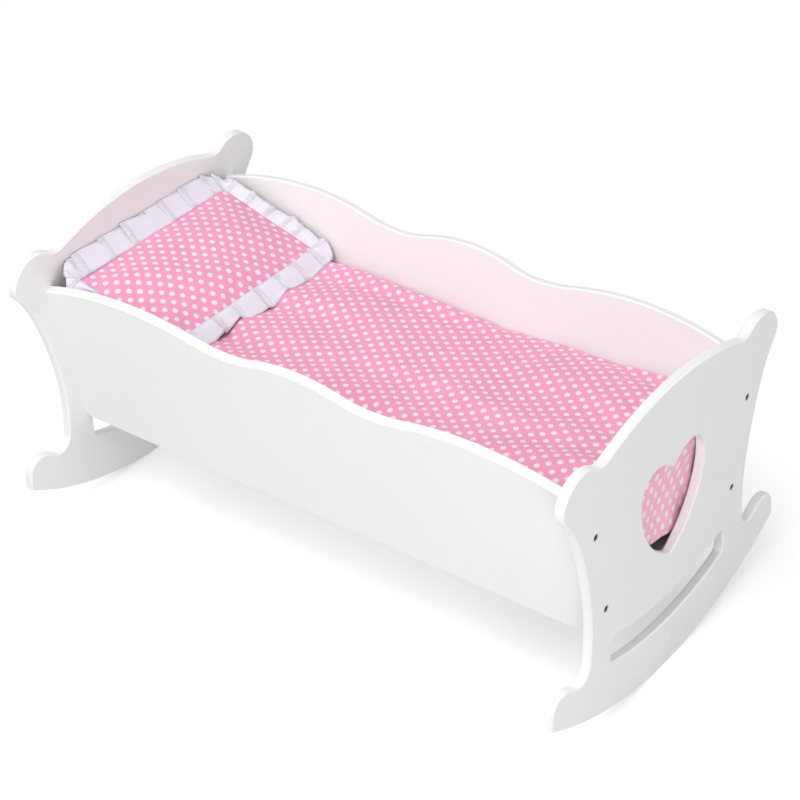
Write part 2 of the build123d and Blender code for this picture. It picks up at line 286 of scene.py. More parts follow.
class Wire:
    """A shader socket. Python arithmetic on it adds Math nodes."""

    def __init__(self, finish, socket):
        self.finish = finish
        self.socket = socket

    def math(self, operation, *others):
        inputs = dict(enumerate((self, *others)))
        return self.finish.node("ShaderNodeMath", {"operation": operation}, inputs)

    __add__, __radd__ = node_operator("ADD")
    __sub__, __rsub__ = node_operator("SUBTRACT")
    __mul__, __rmul__ = node_operator("MULTIPLY")
    __truediv__, __rtruediv__ = node_operator("DIVIDE")
    __mod__, __rmod__ = node_operator("FLOORED_MODULO")
    __pow__, __rpow__ = node_operator("POWER")

    def __abs__(self):
        return self.math("ABSOLUTE")

    def at_least(self, other):
        return self.math("MAXIMUM", other)

    def at_most(self, other):
        return self.math("MINIMUM", other)

    def clamped(self):
        return self.at_least(0.0).at_most(1.0)

    def wave(self, pitch):
        """A sine from -1 to 1 that repeats at a pitch in metres."""
        return (self * (2 * pi / pitch)).math("SINE")


class Finish:
    """The node tree of a material, or of the world, built by calls."""

    def __init__(self, owner):
        if isinstance(owner, str):
            owner = bpy.data.materials.new(owner)
            owner.use_nodes = True
        self.material = owner
        self.tree = owner.node_tree
        self.tree.nodes.clear()

    def node(self, kind, settings=None, inputs=None, output=0):
        """Adds a node: its settings first, then its sockets' values or links."""
        made = self.tree.nodes.new(kind)
        for name, value in (settings or {}).items():
            setattr(made, name, value)
        for name, value in (inputs or {}).items():
            socket = made.inputs[name]
            if isinstance(value, Wire):
                self.tree.links.new(value.socket, socket)
            else:
                socket.default_value = value
        return Wire(self, made.outputs[output]) if made.outputs else None

    def place(self, attribute=None):
        """The position that a pattern follows, as x, y and z wires."""
        if attribute:
            point = self.node(
                "ShaderNodeAttribute", {"attribute_name": attribute}, output="Vector")
        else:
            point = self.node("ShaderNodeTexCoord", output="Object")
        split = self.node("ShaderNodeSeparateXYZ", inputs={0: point}).socket.node
        return point, [Wire(self, socket) for socket in split.outputs]

    def mottle(self, point, size, detail=2.0, rough=0.5):
        """Soft noise from 0 to 1 with blotches of about a size in metres."""
        inputs = {"Vector": point, "Scale": 1 / size, "Detail": detail, "Roughness": rough}
        return self.node("ShaderNodeTexNoise", inputs=inputs)

    def mix(self, share, first, second):
        """A colour between two colours."""
        return self.node(
            "ShaderNodeMix", {"data_type": "RGBA"}, {0: share, 6: first, 7: second}, output=2)

    def toned(self, share, colour, darkest, lightest):
        """A colour that varies between two levels of lightness."""
        return self.mix(share, shaded(colour, darkest), shaded(colour, lightest))

    def bump(self, height, depth, strength, under=None):
        """A normal tilted by a height from 0 to 1 that is a depth in metres."""
        inputs = {"Height": height, "Distance": depth, "Strength": strength}
        if under:
            inputs["Normal"] = under
        return self.node("ShaderNodeBump", inputs=inputs)

    def light(self, kind, strength):
        """White light: an Emission on a surface, or a Background in the world."""
        return self.node("ShaderNode" + kind, inputs={"Color": WHITE, "Strength": strength})

    def surface(self, **sockets):
        """Ends the tree in a shader whose sockets are named with underscores for spaces."""
        inputs = {}
        for name, value in sockets.items():
            is_colour = isinstance(value, tuple)
            inputs[name.replace("_", " ")] = opaque(value) if is_colour else value
        shader = self.node("ShaderNodeBsdfPrincipled", inputs=inputs)
        self.node("ShaderNodeOutputMaterial", inputs={"Surface": shader})
        return self.material


def opaque(colour):
    return (*colour, 1.0)


def shaded(colour, level):
    """A colour, made lighter or darker alike in red, green and blue."""
    return opaque(min(part * level, 1.0) for part in colour)


def painted_board(settings):
    """White satin lacquer over fibreboard, rolled on: a fine stipple and faint lap marks."""
    finish = Finish("painted_board")
    point, _ = finish.place()
    stipple = finish.mottle(point, settings.roller_grain, detail=3.0, rough=0.6)
    laps = finish.mottle(point, size=0.09)
    lap_change, stipple_change = 0.10, 0.08
    roughness = settings.roughness + (laps - 0.5) * lap_change
    roughness = roughness + (stipple - 0.5) * stipple_change
    lapped = finish.bump(laps, depth=0.0006, strength=0.5)
    return finish.surface(
        Base_Color=finish.toned(laps, settings.colour, 0.985, 1.012), Roughness=roughness,
        Normal=finish.bump(stipple, depth=0.00006, strength=0.6, under=lapped),
        Coat_Weight=0.12, Coat_Roughness=0.30)


def blackened_steel(settings):
    """Dark brown oxide on steel, rubbed a little on its high spots."""
    finish = Finish("blackened_steel")
    point, _ = finish.place()
    rubbed = finish.mottle(point, size=0.0011, detail=4.0, rough=0.65)
    return finish.surface(
        Base_Color=finish.toned(rubbed, settings.colour, 0.7, 1.7),
        Roughness=0.42 + rubbed * 0.2, Metallic=0.55,
        Normal=finish.bump(rubbed, depth=0.00004, strength=0.5))


def weave(along, across, pitch):
    """Height of a plain weave, from 0 to 1."""
    return 0.5 + along.wave(pitch) * across.wave(pitch) * 0.5


def dotted_cotton(settings):
    """Pink cotton printed with staggered white dots, on the cloth's own coordinates, with painted
    light: paler pink and whiter dots where the quilt hangs at the foot.
    """
    finish = Finish("dotted_cotton")
    point, (along, across, pulled) = finish.place("cloth_place")
    # The third coordinate is the share of painted light, which makes the hanging part paler
    pulled = pulled / PAINTED_LIGHT_FULL

    column = along / settings.dot_pitch_along
    row = across / settings.dot_pitch_across
    near = []
    for shift in (0.5, 0.0):
        beside = ((column + shift) % 1 - 0.5) * settings.dot_pitch_along
        above = ((row + shift) % 1 - 0.5) * settings.dot_pitch_across
        near.append(beside * beside + above * above)
    distance = near[0].at_most(near[1]) ** 0.5
    edge = 0.0002
    ragged = finish.mottle(point, size=0.0012, rough=0.6)
    inside = (settings.dot_radius + (ragged - 0.5) * edge * 2 - distance) / edge + 0.5

    blotch = finish.mottle(point, size=0.045)
    thread = weave(along, across, settings.thread_pitch)
    slub = finish.mottle(point, size=0.0009, rough=0.6)
    speck = finish.mottle(point, size=0.0022, detail=3.0, rough=0.7)
    deep = thread * 0.2 + slub * 0.15 + speck * 0.25
    pink = finish.toned(blotch, settings.colour, 0.91, 1.09)
    pink = finish.mix(deep, pink, opaque(settings.deep_colour))
    # Painted light: paler pink and whiter dots on the hanging part
    pink = finish.mix(pulled, pink, opaque(settings.flap_painted_light_colour))
    white = finish.mix(thread * 0.25, opaque(settings.dot_colour), shaded(settings.colour, 1.1))
    white = finish.mix(pulled * 0.5, white, WHITE)

    crumple = finish.mottle(point, size=0.009, detail=4.0, rough=0.6)
    crumpled = finish.bump(crumple, depth=0.0016, strength=0.6)
    threads = thread * 0.7 + slub * 0.3
    return finish.surface(
        Base_Color=finish.mix(inside.clamped(), pink, white), Roughness=0.82 + slub * 0.12,
        Normal=finish.bump(threads, depth=0.00012, strength=0.5, under=crumpled),
        Sheen_Weight=0.25, Sheen_Roughness=0.5, Sheen_Tint=(1.0, 0.85, 0.9),
        Specular_IOR_Level=0.3)


def satin_ribbon(settings):
    """White satin: long floats that shine along the ribbon, and a firmer woven edge.

    Its colour is painted whiter along the creases as a painted highlight. It is painted lighter
    along both edges, partly for the firmer weave and partly as a painted highlight.
    """
    finish = Finish("satin_ribbon")
    # The third place is the strength of the painted highlight along the creases
    point, (along, across, crease) = finish.place("ribbon_place")
    floats = across.wave(0.0006)
    slub = finish.mottle(point, size=0.0016, detail=3.0, rough=0.6)
    half = 0.5 * settings.width
    # Both edges are painted lighter: partly the firmer woven edge, partly a painted highlight
    woven_from = 0.93
    edge = (abs(across - half) / half).math("GREATER_THAN", woven_from)
    # Painted highlight: a lighter copy of the ribbon's colour along the creases and the edges
    painted_highlight = (edge * 0.6).at_least(crease)
    tone = finish.toned(slub, settings.colour, 0.95, 1.04)
    drawn = finish.node(
        "ShaderNodeMapping", inputs={"Vector": point, "Scale": (1.0, 0.18, 1.0)})
    pulls = finish.mottle(drawn, size=0.0035, detail=3.0, rough=0.6)
    drawn_in = finish.bump(pulls, depth=0.0011, strength=0.7)
    threads = floats * 0.35 + slub * 0.5
    return finish.surface(
        Base_Color=finish.mix(painted_highlight, tone, shaded(settings.colour, 1.19)),
        Roughness=0.30 + slub * 0.14,
        Normal=finish.bump(threads, depth=0.00006, strength=0.5, under=drawn_in),
        Sheen_Weight=0.15, Coat_Weight=0.25, Coat_Roughness=0.22)


def plain_cotton():
    """Undyed cotton cover of the mattress."""
    finish = Finish("plain_cotton")
    point, (x, y, z) = finish.place()
    thread = weave(x + z, y + z * 0.5, 0.0007)
    blotch = finish.mottle(point, size=0.05)
    crumple = finish.mottle(point, size=0.02, detail=3.0)
    crumpled = finish.bump(crumple, depth=0.002, strength=0.4)
    return finish.surface(
        Base_Color=finish.mix(blotch, (0.80, 0.79, 0.76, 1.0), (0.86, 0.86, 0.84, 1.0)),
        Normal=finish.bump(thread, depth=0.0002, strength=0.5, under=crumpled),
        Roughness=0.9, Sheen_Weight=0.2)


def lit_floor(settings):
    """Pale floor that keeps the cradle's shadow and fades to white with distance."""
    finish = Finish("pale_floor")
    lit = finish.node("ShaderNodeBsdfDiffuse", inputs={"Color": opaque(settings.floor_colour)})
    glow = finish.light("Emission", settings.floor_glow)
    both = finish.node("ShaderNodeAddShader", inputs={0: lit, 1: glow})
    white = finish.light("Emission", 1.0)
    _, (x, y, _) = finish.place()
    away = (x * x + y * y) ** 0.5
    fade = (away - settings.white_from) / (settings.white_beyond - settings.white_from)
    both = finish.node("ShaderNodeMixShader", inputs={0: fade.clamped(), 1: both, 2: white})
    seen = finish.node("ShaderNodeLightPath", output="Is Camera Ray")
    shader = finish.node("ShaderNodeMixShader", inputs={0: seen, 1: lit, 2: both})
    finish.node("ShaderNodeOutputMaterial", inputs={"Surface": shader})
    return finish.material


# Numbers


def clamp(value):
    """A value kept from 0 to 1."""
    return min(1.0, max(0.0, value))


def bell(value, reach, power=2):
    """1 at the middle, falling to about a third at the reach and then to 0."""
    return exp(-(value / reach) ** power)


def crowded(share, amount):
    """A share from -1 to 1, moved outwards so that even steps crowd at the edges."""
    return sin(share * pi / 2 * amount) / sin(pi / 2 * amount)


def soft_noise(*place):
    """Smooth noise about zero at a place given by three numbers."""
    return noise.noise(Vector(place))


def ripple(x, y, seed, long_wave, short_wave):
    """Soft noise about zero, stretched along one direction."""
    return soft_noise(x / long_wave + seed, y / short_wave - seed, seed * 1.7)


# Meshes


def new_object(name, points, faces, material, body):
    """A piece that rides on a body and takes the finish it is given."""
    mesh = bpy.data.meshes.new(name)
    mesh.from_pydata([tuple(map(float, point)) for point in points], [], faces)
    mesh.validate()
    mesh.shade_smooth()
    mesh.materials.append(material)
    made = bpy.data.objects.new(name, mesh)
    bpy.context.scene.collection.objects.link(made)
    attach(made, body)
    return made


def keep_places(piece, name, places):
    """Stores a place on the flat cloth for each vertex, which the print and weave follow."""
    layer = piece.data.attributes.new(name, "FLOAT_VECTOR", "POINT")
    layer.data.foreach_set("vector", np.asarray(places, dtype=np.float32).ravel())


def vertex_array(mesh):
    points = np.empty(len(mesh.vertices) * 3, dtype=np.float32)
    mesh.vertices.foreach_get("co", points)
    return points.reshape(-1, 3).astype(float)


def set_vertices(mesh, points):
    mesh.vertices.foreach_set("co", np.asarray(points, dtype=np.float32).ravel())
    mesh.update()


def swell(piece, pinned, pressure, slack, most, frames):
    """Blows a closed cloth form up a little with its seam held, so that it puckers as sewn.

    No point ends more than a distance, most, from where it was.
    """
    start = vertex_array(piece.data)
    group = piece.vertex_groups.new(name="seam")
    for place, hold in enumerate(pinned):
        if hold > 0:
            group.add([place], float(hold), "REPLACE")
    cloth = piece.modifiers.new("swell", "CLOTH")
    cloth.settings.quality = 6
    cloth.settings.mass = 0.15
    cloth.settings.tension_stiffness = 20
    cloth.settings.compression_stiffness = 12
    cloth.settings.shear_stiffness = 6
    cloth.settings.bending_stiffness = 0.6
    cloth.settings.use_pressure = True
    cloth.settings.uniform_pressure_force = pressure
    cloth.settings.shrink_min = -slack
    cloth.settings.effector_weights.gravity = 0
    cloth.settings.vertex_group_mass = "seam"
    cloth.collision_settings.use_collision = False
    cloth.point_cache.frame_start = 1
    cloth.point_cache.frame_end = frames
    scene = bpy.context.scene
    for step in range(1, frames + 1):
        scene.frame_set(step)
    shaped = piece.evaluated_get(bpy.context.evaluated_depsgraph_get())
    moved = vertex_array(shaped.data) - start
    far = np.linalg.norm(moved, axis=1, keepdims=True)
    moved *= np.minimum(1, most / np.maximum(far, 1e-9))
    piece.modifiers.remove(cloth)
    piece.vertex_groups.remove(group)
    scene.frame_set(1)
    set_vertices(piece.data, start + moved)


def subdivided(piece):
    """One smooth subdivision, as the last step of a soft piece."""
    modifier = piece.modifiers.new("smooth", "SUBSURF")
    modifier.levels = 1
    modifier.render_levels = 1


def surface_under(piece):
    """Height of a piece's top surface over a point, or None beside it."""
    tree = BVHTree.FromPolygons(
        [vertex.co for vertex in piece.data.vertices],
        [tuple(face.vertices) for face in piece.data.polygons])

    def height(x, y):
        hit, *_ = tree.ray_cast(Vector((x, y, 1.0)), Vector((0, 0, -1)))
        return hit.z if hit else None

    return height


def two_grids(rows, columns, form):
    """Top and bottom grids from a form, a function of two places from -1 to 1."""
    top = np.zeros((rows + 1, columns + 1, 3))
    bottom = np.zeros_like(top)
    for row in range(rows + 1):
        for column in range(columns + 1):
            pair = form(row / rows * 2 - 1, column / columns * 2 - 1)
            top[row, column], bottom[row, column] = pair
    return top, bottom


def two_faced_grid(top, bottom):
    """Points, faces and border of a closed form from two grids that share their border."""
    rows, columns = top.shape[:2]
    index_top = np.arange(rows * columns).reshape(rows, columns)
    index_bottom = index_top.copy()
    points = list(top.reshape(-1, 3))
    for row in range(1, rows - 1):
        for column in range(1, columns - 1):
            index_bottom[row, column] = len(points)
            points.append(bottom[row, column])
    faces = []
    for row in range(rows - 1):
        for column in range(columns - 1):
            for index, turn in ((index_top, 1), (index_bottom, -1)):
                ring = (index[row, column], index[row + 1, column],
                        index[row + 1, column + 1], index[row, column + 1])
                faces.append(tuple(int(i) for i in ring[::turn]))
    border = np.zeros(len(points))
    edge = np.concatenate([index_top[0], index_top[-1], index_top[:, 0], index_top[:, -1]])
    border[edge] = 1
    return points, faces, border


# Gap under a soft piece that lies on another
lying_gap = 0.0004


# Quilt

# Height of the quilt's crown over its underside at shares of its length from the head
quilt_crowns = (
    (0.0, 0.016), (0.055, 0.026), (0.19, 0.030), (0.34, 0.036), (0.57, 0.0325),
    (0.80, 0.0365), (0.95, 0.0385), (1.0, 0.030),
)
quilt_base = mattress_high[2] + 0.0006
quilt_end_gap = 0.0008

# Distance from the footboard over which the quilt passes from the bed to the hanging part
foot_zone = 0.03

# Height over the underside and distance from the footboard where the ripples of the top begin,
# each with the length over which they grow
ripple_low, ripple_low_ramp = 0.014, 0.012
ripple_foot, ripple_foot_ramp = 0.02, 0.03

# Height over the underside from which the upright folds grow, and the length that this takes
hang_from, hang_ramp = 0.022, 0.03


def crown_height(x):
    """Height of the quilt's middle line at a place along it, smoothed between stations."""
    shares, heights = np.array(quilt_crowns).T
    places = quilt_low[0] + shares * (quilt_high[0] - quilt_low[0])
    spread = np.linspace(-0.03, 0.03, 7)
    return quilt_base + float(np.mean(np.interp(x + spread, places, heights)))


def quilt_stations(settings):
    """Stations from the head edge to the hanging end: outer, inner and seam points, cloth."""
    head = quilt_low[0] + quilt_end_gap
    foot = quilt_high[0] - quilt_end_gap
    end = settings.flap_end
    low = quilt_base
    seam = low + settings.seam_height
    turn = settings.fold_round
    thick = settings.flap_thickness
    quarter_turn = np.linspace(0, pi / 2, 5)
    stations = []

    near_head = head + settings.edge_round * (1 - np.cos(quarter_turn))
    bed = np.arange(near_head[-1] + settings.grid, foot - turn, settings.grid)
    for x in np.concatenate([near_head, bed]):
        rise = (1 - max(0.0, 1 - (x - head) / settings.edge_round) ** 2.5) ** 0.6
        outer = (x, seam + (crown_height(x) - seam) * rise)
        stations.append((outer, (x, seam + (low - seam) * rise), (x, seam), x))

    start = crown_height(foot - turn) - turn
    for angle in np.linspace(0.0, pi / 2, 7):
        outer = (foot - turn + turn * sin(angle), start + turn * cos(angle))
        inner = (foot - turn + (turn - thick) * sin(angle), low)
        middle_z = (outer[1] + inner[1]) / 2
        spine = ((outer[0] + inner[0]) / 2, seam + (middle_z - seam) * angle / (pi / 2))
        stations.append((outer, inner, spine, foot - turn + turn * angle))

    along = stations[-1][3]
    hanging = np.arange(start - settings.grid, end + thick / 2, -settings.grid)
    rounded = end + thick / 2 * (1 - np.sin(quarter_turn))
    for z in np.concatenate([hanging, rounded]):
        share = min(1.0, (z - end) / (thick / 2))
        half = thick / 2 * sqrt(max(0.0, 1 - (1 - share) ** 2))
        inner_z = end + (z - end) * (low - end) / (start - end)
        middle = foot - thick / 2
        spine = (middle, (z + inner_z) / 2)
        stations.append(((middle + half, z), (middle - half, inner_z), spine, along + start - z))
    return stations


def quilt_half_width(settings, x, z):
    """Half the quilt's width at a place: up to the side panels, narrower where it hangs."""
    room = side_inside_y(z) - settings.side_gap
    bed_end = foot_inside - 0.04
    narrowing = 0.02
    if x < bed_end:
        return room
    hang = clamp((quilt_base + narrowing - z) / narrowing)
    return room + (settings.flap_half_width - room) * hang * hang * (3 - 2 * hang)


def quilt_form(settings):
    """Points, faces, cloth places and held seam of the quilt before it is swelled."""
    stations = quilt_stations(settings)
    half = side_inside_y(quilt_base + settings.seam_height) - settings.side_gap
    count = round(2 * half / settings.grid)
    edge_share = settings.edge_round / half
    cloth_half = half + 0.008
    pull_zone = 0.02
    outer_grid = np.zeros((count + 1, len(stations), 3))
    inner_grid = np.zeros_like(outer_grid)
    cloth_grid = np.zeros_like(outer_grid)
    for row in range(count + 1):
        share = crowded(row / count * 2 - 1, 0.9)
        side = max(0.0, (abs(share) - 1 + edge_share) / edge_share)
        fullness = sqrt(max(0.0, 1 - side ** 2.2))
        for column, (outer, inner, spine, along) in enumerate(stations):
            for grid, face in ((outer_grid, outer), (inner_grid, inner)):
                x = spine[0] + (face[0] - spine[0]) * fullness
                z = spine[1] + (face[1] - spine[1]) * fullness
                grid[row, column] = (x, share * quilt_half_width(settings, x, z), z)
            # The third cloth place is both how far the hanging part is pulled wider and how much
            # painted light, a paler pink, it gets
            beyond = max(0.0, along - (foot_inside - pull_zone))
            pulled = min(1.0, beyond / pull_zone)
            cloth_grid[row, column] = (
                along - settings.flap_stretch * beyond,
                share * cloth_half * (1 - settings.flap_stretch * pulled), pulled * PAINTED_LIGHT_FULL)
    points, faces, held = two_faced_grid(outer_grid, inner_grid)
    places = list(cloth_grid.reshape(-1, 3)) + list(cloth_grid[1:-1, 1:-1].reshape(-1, 3))
    return points, faces, places, held


def ripples(settings, x, y, z):
    """Rise of the soft ripples over the top, which fade to the sides and to the foot."""
    over = clamp((z - quilt_base - ripple_low) / ripple_low_ramp)
    flat = clamp((foot_inside - ripple_foot - x) / ripple_foot_ramp)
    drift = ripple(x, y, seed=1.3, long_wave=0.12, short_wave=0.07) * 0.03
    broad = ripple(x, y + drift, seed=3.1, long_wave=0.16, short_wave=0.023)
    fine = ripple(x + y * 0.3, y - x * 0.35, seed=8.4, long_wave=0.03, short_wave=0.012)
    return over * flat * settings.ripple_height * (broad * 2.2 + fine * 0.5)


def hung(settings, x, y, z):
    """Place of a point of the hanging part, with its folds, its sloped edge and its bulge."""
    hang = clamp((quilt_base + hang_from - z) / hang_ramp)
    wander = ripple(y, z, seed=5.5, long_wave=0.03, short_wave=0.05)
    phase = y / settings.flap_half_width * settings.flap_folds + wander * 0.5
    x += settings.flap_fold_depth * hang * (abs(sin(phase * pi / 2)) - 1)
    fall = max(0.0, quilt_base - z) / (quilt_base - settings.flap_end)
    slope_reach = 0.045
    z -= fall * settings.flap_slope * max(-slope_reach, min(slope_reach, y))
    bulge_ramp = 0.018
    outward = min(1.0, (x - foot_inside + foot_zone) / bulge_ramp)
    return x + settings.flap_bulge * outward * bell(y, reach=0.078, power=4), y, z


def shape_quilt(settings, points):
    """Adds soft ripples over the top and upright folds down the flap."""
    shaped = []
    for x, y, z in points:
        z += ripples(settings, x, y, z)
        if x > foot_inside - foot_zone:
            x, y, z = hung(settings, x, y, z)
        shaped.append((x, y, z))
    return shaped


def keep_in_bed(piece):
    """Presses a soft piece flat where it meets the mattress, the sides and the end boards."""
    points = vertex_array(piece.data)
    mattress_foot = mattress_high[0] - 0.002
    beside_gap = 0.0005
    foot_gap = 0.0022
    for point in points:
        if point[0] < mattress_foot:
            point[2] = max(point[2], mattress_high[2] + lying_gap)
        room = side_inside_y(point[2]) - beside_gap
        point[1] = max(-room, min(room, point[1]))
        point[0] = max(head_inside + quilt_end_gap, min(foot_inside - foot_gap, point[0]))
        if point[2] < mattress_high[2] and point[0] > mattress_foot:
            point[0] = max(point[0], mattress_high[0] + beside_gap)
    set_vertices(piece.data, points)


class CRADLE_OT_quilt(bpy.types.Operator):
    """Lays the padded polka-dot quilt over the mattress, with its end hanging at the foot"""

    bl_idname = "cradle.quilt"
    bl_label = "Quilt"

    def execute(self, context):
        settings = context.scene.cradle_quilt
        points, faces, places, held = quilt_form(settings)
        material = dotted_cotton(context.scene.cradle_cloth)
        quilt = new_object(
            "quilt_cover", shape_quilt(settings, points), faces, material,
            "quilt")
        # The third cloth place carries the hanging part's painted light
        keep_places(quilt, "cloth_place", places)
        swell(quilt, held, pressure=1.5, slack=0.012, most=0.003, frames=14)
        keep_in_bed(quilt)
        subdivided(quilt)
        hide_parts("quilt")
        return {"FINISHED"}


# Pillow

# A point on the line of the ridge over the filling, and the direction across that line
ridge_x, ridge_y = -0.0439, -0.0178
ridge_across_x, ridge_across_y = -0.811, 0.585

# Where the pillow's print starts, on the cloth
print_shift = np.array((0.0043, 0.0018, 0.0))


def pillow_matrix(settings):
    """Places the pillow's plane: local X to the foot, Y across, Z out of its top."""
    turn = Matrix.Rotation(settings.tilt, 4, "Y")
    return Matrix.Translation(settings.foot_place) @ turn


def pillow_outline(settings, across, along):
    """Point of the flat pillow for a grid place, each from -1 to 1, with rounded corners."""
    half_depth = settings.depth / 2
    half_width = settings.half_width
    corner = settings.corner_round
    x = half_depth * along
    y = half_width * across
    over_x = abs(x) - half_depth + corner
    over_y = abs(y) - half_width + corner
    if over_x > 0 and over_y > 0:
        pull = max(over_x, over_y) / sqrt(over_x ** 2 + over_y ** 2)
        x = (half_depth - corner + over_x * pull) * (1 if x > 0 else -1)
        y = (half_width - corner + over_y * pull) * (1 if y > 0 else -1)
    waist = 0.0016
    x -= waist * along * (1 - across ** 2)
    y -= waist * across * (1 - along ** 2)
    return x - half_depth, y


def pillow_form(settings, across, along):
    """Points of the pillow's top and underside in its own plane, meeting at the seam."""
    x, y = pillow_outline(settings, across, along)
    full = (1 - abs(along) ** 2.4) * (1 - abs(across) ** 3.4)
    dent = ripple(x, y, seed=2.2, long_wave=0.05, short_wave=0.035) * 0.0012
    from_ridge = (x - ridge_x) * ridge_across_x + (y - ridge_y) * ridge_across_y
    ridge = bell(from_ridge, reach=0.014) - 0.7 * bell(from_ridge - 0.026, reach=0.016)
    height = settings.crown * full + (dent + settings.ridge * ridge) * min(1.0, full * 2)
    return (x, y, height), (x, y, -settings.belly * full ** 0.8)


class CRADLE_OT_pillow(bpy.types.Operator):
    """Sews and fills the polka-dot pillow and lays it on the quilt against the headboard"""

    bl_idname = "cradle.pillow"
    bl_label = "Pillow"

    def execute(self, context):
        settings = context.scene.cradle_pillow
        rows = round(settings.half_width * 2 / settings.grid)
        columns = round(settings.depth / settings.grid)
        top, bottom = two_grids(rows, columns, partial(pillow_form, settings))
        points, faces, border = two_faced_grid(top, bottom)
        material = bpy.data.materials["dotted_cotton"]
        pillow = new_object(
            "pillow_cushion", points, faces, material, "pillow")
        keep_places(pillow, "cloth_place", np.array(points) * (1.0, 1.0, 0.0) + print_shift)
        swell(pillow, border, pressure=3.0, slack=0.006, most=0.0022, frames=18)
        matrix = pillow_matrix(settings)
        laid = [matrix @ Vector(point) for point in vertex_array(pillow.data)]
        height = surface_under(bpy.data.objects["quilt_cover"])
        for point in laid:
            floor_z = height(point.x, point.y)
            if floor_z is not None:
                point.z = max(point.z, floor_z + settings.quilt_gap)
        set_vertices(pillow.data, laid)
        subdivided(pillow)
        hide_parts("pillow")
        return {"FINISHED"}


# Ruffle

# Places across the bed of the creases at the head side
head_creases = (0.0815, 0.0515, 0.0246, 0.0001, -0.0252, -0.0540, -0.0873)

# Width of the ribbon at the head side, at places across the bed
head_widths = ((-0.095, 0.0165), (-0.08, 0.0185), (0.083, 0.0185), (0.093, 0.0125))

# Width of the ribbon at the foot side, at places across the bed: it is rucked up in one place
foot_widths = (
    (-0.098, 0.011), (-0.074, 0.0125), (-0.060, 0.0165), (-0.030, 0.0135), (-0.022, 0.0110),
    (-0.012, 0.0200), (0.030, 0.0190), (0.070, 0.0195), (0.098, 0.0190),
)

# How the ribbon lies at the head, foot, far and near side: degrees that it points up, share of
# a pleat's rise, how far it is crumpled, and how much of a pleat's slant its edge shows
side_tilts = (28, -20, 20, -30)
side_rises = (1, 0.7, 0.8, 0.5)
side_crumples = (0.0004, 0.0009, 0.0028, 0.0008)
side_slants = (1, -0.6, 0.4, 0.4)

# Places along a pleat, how far it sags between them, how far its crease dips at the nose, and
# where its under-fold lies, all as shares of the pleat's rise
pleat_parts = (0.0, 0.2, 0.4, 0.6, 0.8, 0.95, 1.0)
pleat_sag = 0.08
nose_dip = 0.22
under_lift = 0.3

# Width that a pleat's slant adds from its start to its crease, and how much that varies
slant_width, slant_change = 0.0034, 0.002

# Degrees that the ribbon is tucked under along the near side, away from the head corner
near_tuck = 95

# Spaces across the ribbon, its upward bow, the size of its crumples, and the room of one layer
ribbon_columns = 7
ribbon_bow = 0.0009
crumple_size = 0.0085
ribbon_room = 0.0005

# Share of a pleat's rise that stays where the quilt holds the ribbon up, and share of its width
# past a side panel that turns upwards
kept_tip = 0.8
turned_up = 0.8

# Distance from the head corner where the near side's tuck begins, and the length that it takes
tuck_from, tuck_ramp = 0.004, 0.02

# How much a pleat's tilt in degrees and its rise vary, and how far it may start before a corner
tilt_change, rise_change = 4, 0.3
least_share = -0.15

# Seed of the crumples, without which they would differ from run to run
crumple_seed = 5


def seam_path(settings):
    """The pillow's seam as stretches of (kind, start, end, heading, length), head side first.

    A heading is the direction out of the pillow, turning towards the near side, the foot
    and the far side in that order.
    """
    corner = settings.corner_round
    run_x = settings.depth / 2 - corner
    run_y = settings.half_width - corner
    corners = [(-run_x, -run_y), (run_x, -run_y), (run_x, run_y), (-run_x, run_y)]
    stretches = []
    for turn in range(4):
        heading = pi + turn * pi / 2
        out = Vector((cos(heading), sin(heading))) * corner
        start = Vector(corners[turn - 1]) + out
        end = Vector(corners[turn]) + out
        stretches.append(("side", start, end, heading, (end - start).length))
        stretches.append(("corner", Vector(corners[turn]), None, heading, corner * pi / 2))
    return stretches


def seam_point(stretch, share, corner):
    """Point on a stretch of the seam, and the heading out of the pillow there."""
    kind, start, end, heading, _ = stretch
    if kind == "side":
        return start.lerp(end, share), heading
    heading += share * pi / 2
    return start + Vector((cos(heading), sin(heading))) * corner, heading


def ruffle_panels(pillow, settings):
    """The pleats as (stretch, start share, end share, run), round the seam."""
    panels = []
    for stretch in seam_path(pillow):
        kind, start, _, heading, length = stretch
        count = settings.pleats_foot if cos(heading) > 0.5 else settings.pleats_side
        if kind == "corner":
            count = settings.pleats_corner
        cuts = [(place + 0.35 * soft_noise(count * 3.1, heading, place)) / count
                for place in range(count + 1)]
        cuts[0], cuts[-1] = 0.0, 1.0
        if kind == "side" and cos(heading) < -0.5:
            cuts = [0.0] + [(start.y - y) / length for y in head_creases] + [1.0]
        for begin, end in zip(cuts, cuts[1:]):
            panels.append((stretch, begin, end, length * (end - begin)))
    return panels


def ruffle_stations(pillow, settings):
    """Stations along the ribbon: stretch, share, lift, pleat number and cut length so far.

    Each pleat rises to a rounded nose at its end and then runs back under itself.
    """
    eighth_turn = 0.8
    stations = []
    cut = 0.0
    for number, (stretch, start, end, run) in enumerate(ruffle_panels(pillow, settings)):
        wobble = soft_noise(number * 1.37, 0.4, 2.0)
        fold = min(settings.fold * (1 + wobble * 0.4), run * 0.7)
        back = fold / run * (end - start)
        nose = settings.nose / run * (end - start)
        for part in pleat_parts:
            share = start - back + (end - nose - start + back) * part
            stations.append((stretch, share, part - pleat_sag * sin(part * pi), number, cut))
            cut += (run + fold) / len(pleat_parts)
        for angle in (radians(45), 0.0, radians(-45)):
            share = end - nose + nose * cos(angle)
            lift = 1 - (1 - sin(angle)) * nose_dip
            stations.append((stretch, share, lift, number, cut))
            cut += settings.nose * eighth_turn
        stations.append((stretch, end - back * 0.5, under_lift, number, cut))
        cut += fold * 0.5
    return stations, cut


